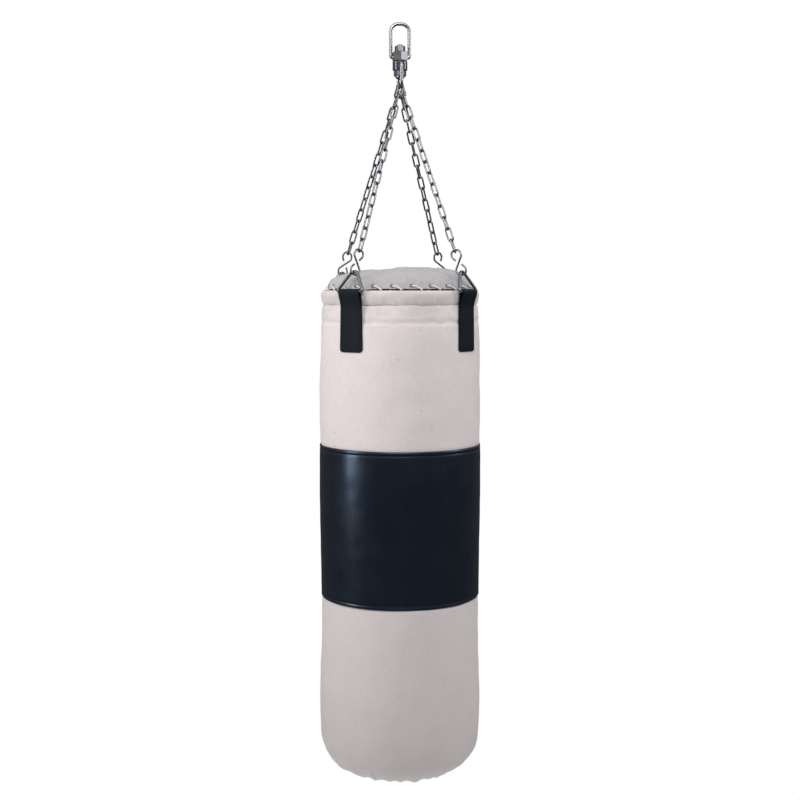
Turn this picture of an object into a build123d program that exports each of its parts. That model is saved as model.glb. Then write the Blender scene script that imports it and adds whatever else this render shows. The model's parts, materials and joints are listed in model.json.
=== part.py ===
from build123d import *
import os
from math import atan2, cos, degrees, radians, sin

os.makedirs("parts", exist_ok=True)

# Heavy punching bag hung from a ball-bearing swivel by four chains.
# Z = 0 is the inner crown of the upper bail, where the hanging hook bears. Front is -Y.

# ---- driving dimensions -------------------------------------------------------------

# bag
bag_height = 1000.0
hang_drop = 534.0  # hook contact to the rim of the bag
band_top = 315.0  # below the rim
band_bottom = 631.5
shell = 3.0  # lined canvas or vinyl
bottom_seam_radius = 104.0
bottom_seam_drop = 996.0  # below the rim
hem_height = 29.0
lid_rise = 53.0

# lacing
lace_count = 24
lace_radius = 1.5
rim_eyelet_radius_at = 153.7  # from the bag's axis
lid_eyelet_at = (147.0, 9.0)  # from the axis, above the rim
lid_eyelet_lean = 58.0  # degrees from vertical
eyelet_bore = 2.3
eyelet_barrel = 2.9
eyelet_flange = 3.6

# straps and triangle rings
strap_azimuths = {
    "front_right": -45.0,
    "back_right": 45.0,
    "back_left": 135.0,
    "front_left": -135.0,
}
strap_top_width = 50.0
strap_width = 56.0
strap_drop = 121.0
strap_ply = 2.0
strap_seat = 162.2  # radius of the strap's inner face
ring_wire = 6.4
ring_half_base = 32.6
ring_half_top = 6.0
ring_height = 42.0
bar_clearance = 0.2
bar_drop = 2.0  # bar centre below the rim

# S-hooks and chains
hook_wire = 3.9
hook_span = 51.6  # crown to crown, wire centres
link_wire = 3.6
link_width = 14.2
link_count = 15
link_gap = 0.15
twist_per_link = 4.5  # degrees
top_link_at = {
    "front_right": -4.0,
    "back_right": 8.8,
    "back_left": 4.0,
    "front_left": -8.8,
}
rest_gap = 0.4  # top link over the lower bail
ring_gap = 0.6  # S-hook under the ring

# swivel
bail_wire = 7.0
bail_half_width = 19.0
lower_bail_half_width = 19.5
bail_bend = 4.2
bail_pin_gap = 0.08
upper_pivot_z = -63.5
lower_pivot_z = -77.0
lower_bail_z = -121.4  # wire centre at the bottom of the loop
bolt_radius = 6.0
bolt_gap = 0.05
housing_clearance = 0.3  # round the bolt
pin_hole_at = 16.6  # middle of a bail hole, from the axis
pin_hole_depth = 16.0
nut_flats = 19.0
nut_z = (-51.4, -40.4)
yoke_flats = 28.5
yoke_z = (-70.4, -51.9)
housing_radius = 15.1
housing_z = (-89.0, -70.9)
bearing_z = -82.4  # roof of the bearing pocket
race_thickness = 2.2
race_radii = (6.6, 12.4)
ball_radius = 1.9
ball_circle = 9.4
ball_count = 12
collar_flats = 22.5
collar_z = (-101.0, -89.2)
bolt_head_radius = 9.5
bolt_tip_z = -108.0

# ---- derived ------------------------------------------------------------------------

rim_z = -hang_drop
bar_z = rim_z - bar_drop
channel = ring_wire / 2 + bar_clearance
bar_at = strap_seat + strap_ply + channel
ring_lean = degrees(atan2(bar_at, lower_bail_z - bar_z))
lace_pitch = 360 / lace_count


def save(builder, node):
    """Label a finished piece and write its STEP file."""
    builder.part.label = node
    export_step(builder.part, f"parts/{node}.step")


def at_rim(points):
    """(radius, height above the rim) pairs as points of the XZ half plane."""
    return [(radius, rim_z + height) for radius, height in points]


# ---- swivel -------------------------------------------------------------------------

with BuildPart() as upper_bail:
    with BuildLine(Plane.XZ) as bail_path:
        bail_crown = bail_wire / 2
        FilletPolyline(
            (9.0, upper_pivot_z),
            (bail_half_width, upper_pivot_z),
            (bail_half_width, bail_crown),
            (-bail_half_width, bail_crown),
            (-bail_half_width, upper_pivot_z),
            (-9.0, upper_pivot_z),
            radius=(bail_bend, 15.5, 15.5, bail_bend),
        )
    with BuildSketch(Plane(origin=(9.0, 0, upper_pivot_z), z_dir=(1, 0, 0))):
        Circle(bail_wire / 2)
    sweep(path=bail_path.wire())
save(upper_bail, "upper_bail")

with BuildPart() as lower_bail:
    with BuildLine(Plane.YZ) as stirrup_path:
        FilletPolyline(
            (9.0, lower_pivot_z),
            (lower_bail_half_width, lower_pivot_z),
            (lower_bail_half_width, lower_bail_z),
            (-lower_bail_half_width, lower_bail_z),
            (-lower_bail_half_width, lower_pivot_z),
            (-9.0, lower_pivot_z),
            radius=(bail_bend, 9.5, 9.5, bail_bend),
        )
    with BuildSketch(Plane(origin=(0, 9.0, lower_pivot_z), z_dir=(0, 1, 0))):
        Circle(bail_wire / 2)
    sweep(path=stirrup_path.wire())
save(lower_bail, "lower_bail")

with BuildPart() as swivel_bolt:
    with BuildSketch(Plane.XZ):
        with BuildLine():
            top_z = nut_z[1] + 3.0
            head_z = collar_z[0]
            Polyline((0, head_z), (0, top_z), (bolt_radius - 1, top_z), (bolt_radius, top_z - 1))
            Polyline((bolt_radius, top_z - 1), (bolt_radius, head_z), (bolt_head_radius, head_z))
            Spline(
                (bolt_head_radius, head_z),
                (bolt_head_radius * 0.62, head_z - 5.0),
                (0, bolt_tip_z),
                tangents=((0, -1), (-1, 0)),
            )
            Line((0, bolt_tip_z), (0, head_z))
        make_face()
    revolve(axis=Axis.Z)
save(swivel_bolt, "swivel_bolt")


def hexagon_nut(z_range, across_flats, bevel):
    """A hexagonal nut on the swivel's axis, flats facing -Y and +Y, with turned corners."""
    low, high = z_range
    corner = across_flats / 2 / cos(radians(30))
    with BuildPart() as nut:
        with BuildSketch(Plane.XY.offset(low)):
            RegularPolygon(radius=across_flats / 2, side_count=6, major_radius=False)
        extrude(amount=high - low)
        with BuildSketch(Plane.XZ):
            with BuildLine():
                Polyline(
                    (0, low),
                    (corner - bevel * 1.7, low),
                    (corner, low + bevel),
                    (corner, high - bevel),
                    (corner - bevel * 1.7, high),
                    (0, high),
                    close=True,
                )
            make_face()
        revolve(axis=Axis.Z, mode=Mode.INTERSECT)
        with Locations((0, 0, (low + high) / 2)):
            Cylinder(bolt_radius + bolt_gap, high - low + 2, mode=Mode.SUBTRACT)
    return nut


save(hexagon_nut(nut_z, nut_flats, 1.0), "lock_nut")
save(hexagon_nut(collar_z, collar_flats, 1.2), "hex_collar")

with BuildPart() as lock_washer:
    with BuildSketch(Plane.XY.offset(yoke_z[1])):
        Circle(nut_flats / 2 + 1.5)
        Circle(bolt_radius + bolt_gap, mode=Mode.SUBTRACT)
    extrude(amount=nut_z[0] - yoke_z[1])
save(lock_washer, "lock_washer")

with BuildPart() as upper_yoke:
    with BuildSketch(Plane.XY.offset(yoke_z[0])):
        RegularPolygon(radius=yoke_flats / 2, side_count=6, major_radius=False, rotation=30)
    extrude(amount=yoke_z[1] - yoke_z[0])
    chamfer(upper_yoke.faces().sort_by(Axis.Z)[-1].edges(), 1.2)
    chamfer(upper_yoke.faces().sort_by(Axis.Z)[0].edges(), 1.2)
    with Locations((0, 0, sum(yoke_z) / 2)):
        Cylinder(bolt_radius + bolt_gap, 40, mode=Mode.SUBTRACT)
    for side in (1, -1):
        with Locations(Location((side * pin_hole_at, 0, upper_pivot_z), (0, 90, 0))):
            Cylinder(bail_wire / 2 + bail_pin_gap, pin_hole_depth, mode=Mode.SUBTRACT)
save(upper_yoke, "upper_yoke")

with BuildPart() as swivel_housing:
    with Locations((0, 0, sum(housing_z) / 2)):
        Cylinder(housing_radius, housing_z[1] - housing_z[0])
    fillet(swivel_housing.edges().filter_by(GeomType.CIRCLE), 1.6)
    with Locations((0, 0, sum(housing_z) / 2)):
        Cylinder(bolt_radius + housing_clearance, 40, mode=Mode.SUBTRACT)
    with BuildSketch(Plane.XY.offset(housing_z[0])):
        Circle(race_radii[1] + 0.1)
    extrude(amount=bearing_z - housing_z[0], mode=Mode.SUBTRACT)
    for side in (1, -1):
        with Locations(Location((0, side * pin_hole_at, lower_pivot_z), (90, 0, 0))):
            Cylinder(bail_wire / 2 + bail_pin_gap, pin_hole_depth, mode=Mode.SUBTRACT)
save(swivel_housing, "swivel_housing")

ball_z = bearing_z - (bearing_z - collar_z[1]) / 2
race_levels = {
    "bearing_top_race": bearing_z - race_thickness,
    "bearing_bottom_race": collar_z[1],
}
for node, race_low in race_levels.items():
    with BuildPart() as race:
        with BuildSketch(Plane.XY.offset(race_low)):
            Circle(race_radii[1])
            Circle(race_radii[0], mode=Mode.SUBTRACT)
        extrude(amount=race_thickness)
        with Locations((0, 0, ball_z)):
            Torus(ball_circle, ball_radius + 0.1, mode=Mode.SUBTRACT)
    save(race, node)

with BuildPart() as bearing_balls:
    with Locations((0, 0, ball_z)):
        with PolarLocations(ball_circle, ball_count):
            Sphere(ball_radius)
save(bearing_balls, "bearing_balls")

# ---- straps and triangle rings, drawn at azimuth 0 and turned into place ------------

with BuildPart() as strap:
    with BuildSketch(Plane.XZ):
        with Locations((strap_seat + strap_ply, rim_z - strap_drop / 2)):
            Rectangle(2 * strap_ply, strap_drop)
    revolve(axis=Axis.Z)
    with BuildSketch(Plane.YZ):
        with BuildLine():
            Polyline(
                (-strap_top_width / 2, rim_z - 12.0),
                (strap_top_width / 2, rim_z - 12.0),
                (strap_width / 2, rim_z - strap_drop),
                (-strap_width / 2, rim_z - strap_drop),
                close=True,
            )
        tab = make_face()
        fillet(tab.vertices().sort_by(Axis.Y)[:2], 6.0)
    extrude(amount=2 * strap_seat, mode=Mode.INTERSECT)
    with BuildSketch(Plane.XZ) as fold:
        with Locations((bar_at, bar_z)):
            Circle(channel + strap_ply)
        with BuildLine():
            Polyline(
                (strap_seat, bar_z),
                (bar_at + channel + strap_ply, bar_z),
                (strap_seat + 2 * strap_ply, rim_z - 19.0),
                (strap_seat, rim_z - 19.0),
                close=True,
            )
        make_face()
        with Locations((bar_at, bar_z)):
            Circle(channel, mode=Mode.SUBTRACT)
    extrude(amount=strap_top_width / 2, both=True)

ring_plane = Plane(
    origin=(bar_at, 0, bar_z),
    x_dir=(0, 1, 0),
    z_dir=(cos(radians(ring_lean)), 0, sin(radians(ring_lean))),
)
with BuildPart() as ring:
    with BuildLine(ring_plane) as ring_path:
        FilletPolyline(
            (-ring_half_base, 0),
            (ring_half_base, 0),
            (ring_half_top, ring_height),
            (-ring_half_top, ring_height),
            radius=(3.6, 3.6, 9.0, 9.0),
            close=True,
        )
    with BuildSketch(Plane(origin=(bar_at, 0, bar_z), z_dir=(0, 1, 0))):
        Circle(ring_wire / 2)
    sweep(path=ring_path.wire())

# ---- chain link and S-hook, drawn along local X and placed one by one ---------------


def chain_line(corner):
    """Where one chain runs: its top on the lower bail, its direction, its ring's apex."""
    turn = Rotation(0, 0, strap_azimuths[corner])
    lean = radians(ring_lean)
    apex_at = Vector(bar_at - ring_height * sin(lean), 0, bar_z + ring_height * cos(lean))
    apex = (turn * Pos(apex_at)).position
    top = Vector(0, top_link_at[corner], lower_bail_z)
    along = (apex - top).normalized()
    return top, along, apex


def chain_ends(corner):
    """Wire centres of the first link's upper crown and the last link's lower crown."""
    top, along, apex = chain_line(corner)
    first = top - along * (bail_wire / 2 + link_wire / 2 + rest_gap)
    hook_foot = apex + along * (ring_wire / 2 + hook_wire / 2 + ring_gap)
    hook_head = hook_foot - along * hook_span
    last = hook_head + along * (hook_wire / 2 + link_wire / 2 + link_gap)
    return first, last


first_crown, last_crown = chain_ends("front_right")
overlap = link_wire + link_gap
link_span = ((last_crown - first_crown).length + (link_count - 1) * overlap) / link_count

with BuildPart() as link:
    half_span = link_span / 2
    half_wide = (link_width - link_wire) / 2
    with BuildLine() as link_path:
        FilletPolyline(
            (-half_span, -half_wide),
            (half_span, -half_wide),
            (half_span, half_wide),
            (-half_span, half_wide),
            radius=half_wide * 0.98,
            close=True,
        )
    with BuildSketch(Plane(origin=(0, -half_wide, 0), z_dir=(1, 0, 0))):
        Circle(link_wire / 2)
    sweep(path=link_path.wire())

with BuildPart() as s_hook:
    reach = hook_span / 2
    with BuildLine() as hook_path:
        FilletPolyline(
            (-5.5, -4.5),
            (-14.2, -10.0),
            (-reach, -8.0),
            (-reach, 8.0),
            (-12.8, 10.4),
            (12.8, -10.4),
            (reach, -8.0),
            (reach, 8.0),
            (14.2, 10.0),
            (5.5, 4.5),
            radius=(7.5, 7.2, 7.2, 7.5, 7.5, 7.2, 7.2, 7.5),
        )
    hook_start = hook_path.wire() @ 0
    with BuildSketch(Plane(origin=hook_start, z_dir=hook_path.wire() % 0)):
        Circle(hook_wire / 2)
    sweep(path=hook_path.wire())

# ---- one corner of the hanging gear at a time ---------------------------------------

for corner, azimuth in strap_azimuths.items():
    turn = Rotation(0, 0, azimuth)
    with BuildPart() as placed_strap:
        with Locations(turn):
            add(strap.part)
    save(placed_strap, f"strap_{corner}")

    with BuildPart() as placed_ring:
        with Locations(turn):
            add(ring.part)
    save(placed_ring, f"triangle_ring_{corner}")

    along = chain_line(corner)[1]
    first, last = chain_ends(corner)
    pitch = ((last - first).length - link_span) / (link_count - 1)
    facing = (Vector(0, 1, 0) - along * along.Y).normalized()
    turn_per_link = 90 + twist_per_link * sin(radians(2 * azimuth))
    spots = []
    for index in range(link_count):
        centre = first + along * (link_span / 2 + pitch * index)
        normal = facing.rotate(Axis((0, 0, 0), along), turn_per_link * index)
        spots.append(Plane(origin=centre, x_dir=along, z_dir=normal).location)
    with BuildPart() as chain:
        with Locations(*spots):
            add(link.part)
    save(chain, f"chain_{corner}")

    hook_centre = last + along * (hook_span / 2 - hook_wire / 2 - link_wire / 2 - link_gap)
    normal = facing.rotate(Axis((0, 0, 0), along), turn_per_link * link_count)
    with BuildPart() as placed_hook:
        with Locations(Plane(origin=hook_centre, x_dir=along, z_dir=normal).location):
            add(s_hook.part)
    save(placed_hook, f"s_hook_{corner}")

# ---- bag shell ----------------------------------------------------------------------


def revolved_wall(outer):
    """A cloth wall of shell thickness turned about the bag's axis."""
    inner = [(radius - shell, height) for radius, height in reversed(outer)]
    with BuildPart() as wall:
        with BuildSketch(Plane.XZ):
            with BuildLine():
                Spline(*at_rim(outer))
                Line(at_rim(outer)[-1], at_rim(inner)[0])
                Spline(*at_rim(inner))
                Line(at_rim(inner)[-1], at_rim(outer)[0])
            make_face()
        revolve(axis=Axis.Z)
    return wall


upper_wall = [
    (157.5, -hem_height),
    (161.3, -60),
    (163.6, -150),
    (164.6, -235),
    (163.8, -band_top),
]
band_wall = [(164.4, -band_top), (165.2, -430), (163.4, -560), (162.8, -band_bottom)]
upper_panel = revolved_wall(upper_wall)
save(upper_panel, "upper_panel")
middle_band = revolved_wall(band_wall)
save(middle_band, "middle_band")

side_end = 918.0  # where the lower wall starts to turn under
seam_outside = (bottom_seam_radius, -bottom_seam_drop)
seam_inside = (bottom_seam_radius, shell - bottom_seam_drop)
lower_wall = [(162.2, -band_bottom), (163.4, -745), (166.0, -860), (165.4, -side_end)]
with BuildPart() as lower_panel:
    with BuildSketch(Plane.XZ):
        with BuildLine():
            Spline(*at_rim(lower_wall), tangents=((0.01, -1), (-0.05, -1)))
            Spline(
                *at_rim([(165.4, -side_end), (145.0, -973), seam_outside]),
                tangents=((-0.05, -1), (-1, -0.22)),
            )
            Line(*at_rim([seam_outside, seam_inside]))
            Spline(
                *at_rim([seam_inside, (143.0, -970.6), (162.4, -side_end)]),
                tangents=((1, 0.22), (0.05, 1)),
            )
            inner_line = [(radius - shell, height) for radius, height in reversed(lower_wall)]
            Spline(*at_rim(inner_line), tangents=((0.05, 1), (-0.01, 1)))
            Line(*at_rim([(162.2 - shell, -band_bottom), (162.2, -band_bottom)]))
        make_face()
    revolve(axis=Axis.Z)
save(lower_panel, "lower_panel")

with BuildPart() as bottom_panel:
    with BuildSketch(Plane.XZ):
        with BuildLine():
            Spline(
                *at_rim([(0, -bag_height), (60.0, -999.2), seam_outside]),
                tangents=((1, 0), (1, 0.22)),
            )
            Line(*at_rim([seam_outside, seam_inside]))
            Spline(
                *at_rim([seam_inside, (60.0, -996.2), (0, shell - bag_height)]),
                tangents=((-1, -0.22), (-1, 0)),
            )
            Line(*at_rim([(0, shell - bag_height), (0, -bag_height)]))
        make_face()
    revolve(axis=Axis.Z)
save(bottom_panel, "bottom_panel")

with BuildPart() as rim_hem:
    with BuildSketch(Plane.XZ):
        with BuildLine():
            Spline(*at_rim([(157.5, -hem_height), (161.7, -14.0), (161.1, -4.0), (158.4, 0)]))
            Polyline(*at_rim([(158.4, 0), (149.4, 0), (149.4, -2.4), (157.4, -2.6)]))
            Spline(*at_rim([(157.4, -2.6), (158.4, -7.0), (158.4, -15.0), (154.5, -hem_height)]))
            Line(*at_rim([(154.5, -hem_height), (157.5, -hem_height)]))
        make_face()
    revolve(axis=Axis.Z)
    with PolarLocations(rim_eyelet_radius_at, lace_count, start_angle=lace_pitch / 2):
        with Locations((0, 0, rim_z)):
            Cylinder(eyelet_barrel + 0.05, 8.0, mode=Mode.SUBTRACT)
save(rim_hem, "rim_hem")

# ---- laced lid ----------------------------------------------------------------------

lid_eyelet_spot = Location(
    (lid_eyelet_at[0], 0, rim_z + lid_eyelet_at[1]), (0, lid_eyelet_lean, 0)
)
with BuildPart() as lid:
    with BuildSketch(Plane.XZ):
        with BuildLine():
            dome = [(149.8, 2.5), (146.2, 10.0), (133.5, 24.0), (112.0, 36.5), (75.0, 47.0)]
            dome += [(38.0, 51.4), (0, lid_rise)]
            under = [(0, lid_rise - 2.5), (37.5, 48.9), (72.5, 44.4), (110.4, 34.2)]
            under += [(131.4, 22.4), (143.8, 9.0), (147.7, 1.2)]
            Spline(*at_rim(dome), tangents=((-0.35, 1), (-1, 0)))
            Line(*at_rim([dome[-1], under[0]]))
            Spline(*at_rim(under), tangents=((1, 0), (0.35, -1)))
            Line(*at_rim([(147.7, 1.2), (149.8, 2.5)]))
        make_face()
    revolve(axis=Axis.Z)
    with PolarLocations(0, lace_count):
        with Locations(lid_eyelet_spot):
            Cylinder(eyelet_barrel + 0.05, 12.0, mode=Mode.SUBTRACT)
save(lid, "lid")


def eyelet(low, high):
    """A two-flanged metal eyelet along Z, gripping cloth between the heights low and high."""
    lip = 0.6
    with BuildPart() as grommet:
        with BuildSketch(Plane.XZ):
            with BuildLine():
                Polyline(
                    (eyelet_bore, low - lip),
                    (eyelet_flange, low - lip),
                    (eyelet_flange, low),
                    (eyelet_barrel, low),
                    (eyelet_barrel, high),
                    (eyelet_flange, high),
                    (eyelet_flange, high + lip),
                    (eyelet_bore, high + lip),
                    close=True,
                )
            make_face()
        revolve(axis=Axis.Z)
    return grommet


rim_grommet = eyelet(-2.65, 0.05)
with BuildPart() as rim_eyelets:
    with PolarLocations(rim_eyelet_radius_at, lace_count, start_angle=lace_pitch / 2):
        with Locations((0, 0, rim_z)):
            add(rim_grommet.part)
save(rim_eyelets, "rim_eyelets")

lid_grommet = eyelet(-3.15, 0.5)
with BuildPart() as lid_eyelets:
    with PolarLocations(0, lace_count):
        with Locations(lid_eyelet_spot):
            add(lid_grommet.part)
save(lid_eyelets, "lid_eyelets")


def around(radius, height, angle):
    """A point given by its radius, its height above the rim and its angle."""
    return Vector(radius * cos(radians(angle)), radius * sin(radians(angle)), rim_z + height)


def lid_side(depth, angle):
    """A point on a lid eyelet's axis, depth millimetres out of the cloth."""
    lean = radians(lid_eyelet_lean)
    radius, height = lid_eyelet_at
    return around(radius + depth * sin(lean), height + depth * cos(lean), angle)


knuckle = 0.03  # the cord is a little fuller where it turns
with BuildPart() as lace_stitch:
    stops = [
        lid_side(3.2, 0),
        around(rim_eyelet_radius_at, 2.8, lace_pitch / 2),
        around(rim_eyelet_radius_at, -5.6, lace_pitch / 2),
        around(147.0, -6.2, lace_pitch * 0.75),
        lid_side(-5.4, lace_pitch),
        lid_side(3.2, lace_pitch),
    ]
    for start, end in zip(stops, stops[1:]):
        run = end - start
        with Locations(Plane(origin=start, z_dir=run).location):
            Cylinder(lace_radius, run.length, align=(Align.CENTER, Align.CENTER, Align.MIN))
        with Locations(end):
            Sphere(lace_radius + knuckle)

with BuildPart() as lace_cord:
    with PolarLocations(0, lace_count):
        add(lace_stitch.part)
save(lace_cord, "lace_cord")

# ---- filling ------------------------------------------------------------------------

clear = shell + 0.5  # from a wall's outline to the filling
with BuildPart() as filling:
    with BuildSketch(Plane.XZ):
        with BuildLine():
            crown = [(0, 49.5), (72.0, 42.6), (108.0, 32.0), (128.0, 20.5), (138.5, 1.0)]
            top_of_side = (upper_wall[0][0] - clear, -hem_height)
            shoulder = [(138.5, 1.0), (146.5, -11.5), top_of_side]
            side = [(radius - clear, height) for radius, height in upper_wall]
            waist = [(radius - clear, height) for radius, height in band_wall]
            hips = [(radius - clear, height) for radius, height in lower_wall]
            turn_under = [(165.4 - clear, -side_end), (141.6, -968.6), (101.0, -992.2)]
            base = [turn_under[-1], (60.0, -995.7), (0, -996.5)]
            Spline(*at_rim(crown), tangents=((1, 0), (0.1, -1)))
            Spline(*at_rim(shoulder), tangents=((0.1, -1), (0.5, -1)))
            Spline(*at_rim(side))
            Line(*at_rim([side[-1], waist[0]]))
            Spline(*at_rim(waist))
            Line(*at_rim([waist[-1], hips[0]]))
            Spline(*at_rim(hips), tangents=((0.01, -1), (-0.05, -1)))
            Spline(*at_rim(turn_under), tangents=((-0.05, -1), (-1, -0.22)))
            Spline(*at_rim(base), tangents=((-1, -0.22), (-1, 0)))
            Line(*at_rim([base[-1], crown[0]]))
        make_face()
    revolve(axis=Axis.Z)
save(filling, "filling")

print(f"link length {link_span + link_wire:.1f}, ring lean {ring_lean:.1f} degrees")
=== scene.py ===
"""Looks of a heavy punching bag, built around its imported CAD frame. Metres throughout."""

import json
import math

import bmesh
import bpy
import numpy as np
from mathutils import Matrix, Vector
from mathutils.bvhtree import BVHTree


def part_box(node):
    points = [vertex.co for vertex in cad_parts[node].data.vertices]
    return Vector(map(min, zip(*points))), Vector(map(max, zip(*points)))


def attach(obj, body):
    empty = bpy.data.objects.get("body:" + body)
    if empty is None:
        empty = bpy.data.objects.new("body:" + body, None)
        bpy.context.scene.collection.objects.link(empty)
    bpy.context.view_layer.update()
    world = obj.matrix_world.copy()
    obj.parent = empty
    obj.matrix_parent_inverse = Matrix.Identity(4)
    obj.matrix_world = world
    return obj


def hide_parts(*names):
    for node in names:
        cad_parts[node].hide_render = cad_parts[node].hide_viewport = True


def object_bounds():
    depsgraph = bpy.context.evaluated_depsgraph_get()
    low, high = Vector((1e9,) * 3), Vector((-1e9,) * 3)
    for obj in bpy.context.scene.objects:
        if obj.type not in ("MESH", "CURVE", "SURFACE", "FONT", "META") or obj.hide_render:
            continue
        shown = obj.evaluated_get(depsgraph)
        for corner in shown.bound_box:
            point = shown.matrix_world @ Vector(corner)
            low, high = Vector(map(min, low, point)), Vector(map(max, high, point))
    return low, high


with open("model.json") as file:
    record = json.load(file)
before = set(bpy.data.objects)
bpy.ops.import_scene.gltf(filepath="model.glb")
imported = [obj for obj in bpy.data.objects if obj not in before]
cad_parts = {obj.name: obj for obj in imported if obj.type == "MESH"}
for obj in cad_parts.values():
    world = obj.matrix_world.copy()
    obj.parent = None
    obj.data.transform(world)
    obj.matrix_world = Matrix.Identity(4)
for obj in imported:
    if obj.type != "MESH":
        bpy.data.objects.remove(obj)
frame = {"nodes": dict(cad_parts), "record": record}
cad_low, cad_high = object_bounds()
nodes = frame["nodes"]
scene = bpy.context.scene

MM = 0.001
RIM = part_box("rim_hem")[1].z  # top of the bag's rim
SEGMENTS = 240  # columns round the bag
ROW = 4 * MM  # row height of the canvas grids
CORNERS = {"front_right": -45, "back_right": 45, "back_left": 135, "front_left": -135}
SEAM_ANGLE = math.radians(78)  # upright seam of the wall cloths, at the back
LACES = 24  # turns of the lacing
HOLE_RADIUS = 2.7 * MM  # of the cloth round an eyelet
UPPER_RADIUS, BAND_RADIUS, LOWER_RADIUS, HEM_RADIUS = 164 * MM, 165 * MM, 165 * MM, 161 * MM

# ---- camera, lights and floor -------------------------------------------------------

CAMERA_AZIMUTH = math.radians(9)
CAMERA_DISTANCE = 2.695
CAMERA_PITCH = math.radians(4.796)

camera = bpy.data.objects.new("camera", bpy.data.cameras.new("camera"))
camera.data.sensor_width = 36
camera.data.lens = 58.7
camera.location = (-CAMERA_DISTANCE * math.sin(CAMERA_AZIMUTH),
                   -CAMERA_DISTANCE * math.cos(CAMERA_AZIMUTH), RIM)
camera.rotation_euler = (math.pi / 2 - CAMERA_PITCH, 0, -CAMERA_AZIMUTH)
scene.collection.objects.link(camera)
scene.camera = camera
scene.view_settings.view_transform = "Standard"


def area_light(name, azimuth, distance, height, aim_at, size, power, colour=(1, 1, 1)):
    """A softbox facing the bag from that angle left (-) or right (+) of the front."""
    data = bpy.data.lights.new(name, "AREA")
    data.shape = "RECTANGLE"
    data.size, data.size_y = size
    data.energy = power
    data.color = colour
    lamp = bpy.data.objects.new(name, data)
    a = math.radians(azimuth)
    lamp.location = (distance * math.sin(a), -distance * math.cos(a), height)
    aim = Vector((0, 0, aim_at)) - lamp.location
    lamp.rotation_euler = aim.to_track_quat("-Z", "Y").to_euler()
    scene.collection.objects.link(lamp)


area_light("key", -78, 1.6, -0.22, -0.22, (0.26, 1.7), 15, (1.0, 0.985, 0.97))
area_light("front_soft", -10, 1.8, 0.80, -0.60, (1.4, 0.8), 25)
area_light("rim_light", 80, 2.0, 0.35, -0.7, (0.5, 1.2), 15, (0.95, 0.93, 1.0))


def add(tree, kind, inputs=None, **settings):
    """A shader node with its sockets set from values or from other nodes' outputs."""
    node = tree.nodes.new(kind)
    for key, value in settings.items():
        setattr(node, key, value)
    for key, value in (inputs or {}).items():
        if isinstance(value, bpy.types.NodeSocket):
            tree.links.new(value, node.inputs[key])
        else:
            node.inputs[key].default_value = value
    return node


def calc(tree, operation, *values):
    """The output of a Math node."""
    return add(tree, "ShaderNodeMath", dict(enumerate(values)), operation=operation).outputs[0]


def ramp(tree, value, *stops):
    """A colour ramp through (position, colour or grey) stops."""
    node = add(tree, "ShaderNodeValToRGB", {0: value})
    marks = node.color_ramp.elements
    while len(marks) < len(stops):
        marks.new(0.5)
    for mark, (position, colour) in zip(marks, stops):
        mark.position = position
        mark.color = (*colour, 1) if hasattr(colour, "__len__") else (colour,) * 3 + (1,)
    return node.outputs[0]


def mix(tree, factor, a, b, blend="MIX"):
    """Mixes two colours."""
    return add(tree, "ShaderNodeMixRGB", {0: factor, 1: a, 2: b}, blend_type=blend).outputs[0]


world = bpy.data.worlds.new("studio")
world.use_nodes = True
scene.world = world
sky = world.node_tree
sky.nodes.clear()
direction = add(sky, "ShaderNodeTexCoord").outputs["Generated"]
upward = add(sky, "ShaderNodeSeparateXYZ", {0: direction}).outputs["Z"]
level = calc(sky, "MULTIPLY_ADD", upward, 0.5, 0.5)
ambient = ramp(sky, level, (0.0, 0.28), (0.45, 0.42), (0.7, 0.62), (1.0, 0.72))
mirrored = ramp(sky, level, (0.0, 0.03), (0.46, 0.07), (0.52, 0.20), (0.62, 0.10), (0.8, 0.55),
                (1.0, 0.9))
ray = add(sky, "ShaderNodeLightPath")  # white behind the bag, a darker studio in reflections
surround = mix(sky, ray.outputs["Is Glossy Ray"], ambient, mirrored)
tint = mix(sky, ray.outputs["Is Camera Ray"], surround, (1, 1, 1, 1))
back = add(sky, "ShaderNodeBackground", {"Color": tint, "Strength": 1.0})
out = add(sky, "ShaderNodeOutputWorld", {"Surface": back.outputs[0]})

# ---- materials ----------------------------------------------------------------------


def new_material(name, **sockets):
    """A material with one Principled shader, its constants set on its own sockets."""
    made = bpy.data.materials.new(name)
    made.use_nodes = True
    shader = made.node_tree.nodes["Principled BSDF"]
    for key, value in sockets.items():
        shader.inputs[key.replace("_", " ")].default_value = value
    return made, made.node_tree, shader


def place(tree, kind="Object", scale=(1, 1, 1)):
    """Texture coordinates, scaled per axis."""
    source = add(tree, "ShaderNodeTexCoord").outputs[kind]
    return add(tree, "ShaderNodeMapping", {"Vector": source, "Scale": scale}).outputs[0]


def noise(tree, where, scale=1.0, detail=3.0, rough=0.55):
    """Noise of about 0..1 at those coordinates."""
    return add(tree, "ShaderNodeTexNoise", {"Vector": where, "Scale": scale, "Detail": detail,
                                            "Roughness": rough}).outputs["Fac"]


def bump(tree, height, depth, strength=1.0, under=None):
    """A bump normal of that depth in metres."""
    inputs = {"Height": height, "Distance": depth, "Strength": strength}
    if under is not None:
        inputs["Normal"] = under
    return add(tree, "ShaderNodeBump", inputs).outputs[0]


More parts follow.
